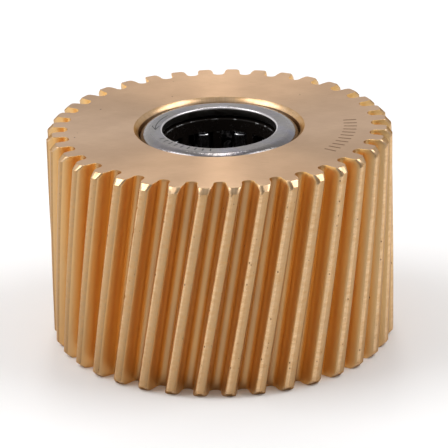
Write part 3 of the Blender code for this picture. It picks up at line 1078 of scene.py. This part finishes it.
def arc_arrow(radius, start, end, width, barb, spread):
    """An arrow along an arc, with an open head of two barbs, as x and y."""
    back = width / sin(spread)
    neck = back + width * cos(spread) / (2 * sin(spread))
    shaft = radius * (end - start)
    side = [(shaft + (neck - shaft) * step / ARROW_STEPS, width / 2) for step in range(ARROW_STEPS + 1)]
    side.append((back + barb * cos(spread), barb * sin(spread)))
    side.append((barb * cos(spread), barb * sin(spread)))
    outline = side + [(0.0, 0.0)] + [(behind, -across) for behind, across in reversed(side)]
    return [
        ((radius + across) * cos(end - behind / radius), (radius + across) * sin(end - behind / radius))
        for behind, across in outline
    ]


def build_marks():
    face_mark = etched_mark("face_mark", (0.24, 0.14, 0.075), 0.8)
    cup_mark = etched_mark("cup_mark", (0.03, 0.03, 0.033), 0.2)
    face_ticks = tick_row(FACE_TICKS, FACE_TICK_RADIUS, FACE_TICK_ANGLES, FACE_TICK_SIZE)
    lip_ticks = tick_row(LIP_TICKS, LIP_TICK_RADIUS, LIP_TICK_ANGLES, LIP_TICK_SIZE)
    arrow = arc_arrow(ARROW_RADIUS, *ARROW_ANGLES, ARROW_WIDTH, ARROW_BARB, ARROW_SPREAD)
    marks = (
        inlay("face_ticks", face_ticks, FACE_WIDTH, face_mark),
        inlay("lip_ticks", lip_ticks, clutch_high.z, cup_mark),
        inlay("turning_arrow", [arrow], clutch_high.z, cup_mark),
    )
    for mark, slot in zip(marks, ("bronze", "cup_steel", "cup_steel")):
        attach(mark, "gear")


# Studio


def floor_material():
    shading = Shading("pale_floor", 0.0, (0.94, 0.94, 0.94), 0.7)
    paper = shading.noise((120, 120, 120), detail=3)
    shading.tint(shading.between(paper, 0.3, 0.7, 0.0, 0.2), (0.92, 0.92, 0.92))
    return shading.material


def build_floor():
    reach = FLOOR_REACH
    corners = [(-reach, -reach, 0), (reach, -reach, 0), (reach, reach, 0), (-reach, reach, 0)]
    floor = add_piece("floor", corners, [(0, 1, 2, 3)], [floor_material()])


def build_softbox(name, direction, size, power):
    """A rectangular soft light, aimed at the gear's middle."""
    data = bpy.data.lights.new(name, "AREA")
    data.shape = "RECTANGLE"
    data.size, data.size_y = size
    data.energy = power
    light = bpy.data.objects.new(name, data)
    toward = Vector(direction).normalized()
    light.location = Vector((0, 0, FACE_WIDTH / 2)) + toward * LIGHT_DISTANCE
    light.rotation_mode = "QUATERNION"
    light.rotation_quaternion = toward.to_track_quat("Z", "Y")
    bpy.context.scene.collection.objects.link(light)


def build_surroundings():
    """A pale room: brightest on the left, darker to the right, overhead and on the camera's side."""
    world = bpy.data.worlds.new("studio")
    bpy.context.scene.world = world
    world.use_nodes = True
    room = NodeTree(world.node_tree)
    background = world.node_tree.nodes["Background"]
    direction = room.node("ShaderNodeTexCoord")
    split = room.node("ShaderNodeSeparateXYZ")
    room.link(direction.outputs["Generated"], split.inputs["Vector"])
    shade = room.node("ShaderNodeValToRGB")
    horizon, overhead = shade.color_ramp.elements
    horizon.color = (1.0, 1.0, 1.0, 1)
    overhead.color = (0.37, 0.37, 0.38, 1)
    room.link(split.outputs["Z"], shade.inputs["Fac"])
    room.link(shade.outputs["Color"], background.inputs["Color"])
    strength = room.node("ShaderNodeMath", operation="MULTIPLY")
    front_to_back = split.outputs["Y"]
    left_to_right = split.outputs["X"]
    from_front = room.between(front_to_back, -1.0, ROOM_FRONT_END, ROOM_FRONT_STRENGTH, 1.0, "SMOOTHSTEP")
    from_side = room.between(left_to_right, -1.0, 1.0, ROOM_LEFT_STRENGTH, ROOM_RIGHT_STRENGTH)
    room.link(from_front, strength.inputs[0])
    room.link(from_side, strength.inputs[1])
    room.link(strength.outputs["Value"], background.inputs["Strength"])


def camera_turn(away):
    """The camera's axes, as the columns of a matrix: right, up and back."""
    upright = Vector((0, 0, 1))
    forward = -away
    right = forward.cross(upright).normalized()
    above = right.cross(forward)
    forward = (forward + right * tan(CAMERA_PAN) + above * tan(CAMERA_TILT)).normalized()
    right = forward.cross(upright).normalized()
    above = right.cross(forward)
    rolled_right = right * cos(CAMERA_ROLL) + above * sin(CAMERA_ROLL)
    rolled_above = above * cos(CAMERA_ROLL) - right * sin(CAMERA_ROLL)
    return Matrix((rolled_right, rolled_above, -forward)).transposed()


def build_camera():
    level = cos(CAMERA_ELEVATION)
    away = Vector((sin(CAMERA_AZIMUTH) * level, -cos(CAMERA_AZIMUTH) * level, sin(CAMERA_ELEVATION)))
    place = Vector((0, 0, FACE_WIDTH)) + away * CAMERA_DISTANCE
    data = bpy.data.cameras.new("camera")
    data.sensor_width = SENSOR_MM
    data.lens = LENS_MM
    data.clip_start = 0.01
    data.clip_end = 10
    camera = bpy.data.objects.new("camera", data)
    camera.matrix_world = Matrix.Translation(place) @ camera_turn(away).to_4x4()
    bpy.context.scene.collection.objects.link(camera)
    bpy.context.scene.camera = camera


def build_studio():
    build_floor()
    build_surroundings()
    build_softbox("left_softbox", LEFT_LIGHT, SIDE_LIGHT_SIZE, SIDE_LIGHT_POWER)
    build_softbox("right_softbox", RIGHT_LIGHT, SIDE_LIGHT_SIZE, SIDE_LIGHT_POWER)
    build_softbox("back_strip", BACK_LIGHT, BACK_LIGHT_SIZE, BACK_LIGHT_POWER)
    build_camera()
    bpy.context.scene.view_settings.view_transform = "Standard"


def main():
    cup_finishes = cup_materials()
    roller_material = roller_steel()
    build_gear_body()
    build_clutch_cup(cup_finishes)
    build_bearing_cup(cup_finishes)
    build_cages()
    build_rollers(ROLLER_NODES, "jamming_roller", "roller", roller_material)
    build_rollers(NEEDLE_NODES, "needle", "needle", roller_material)
    build_springs()
    build_marks()
    build_studio()


main()
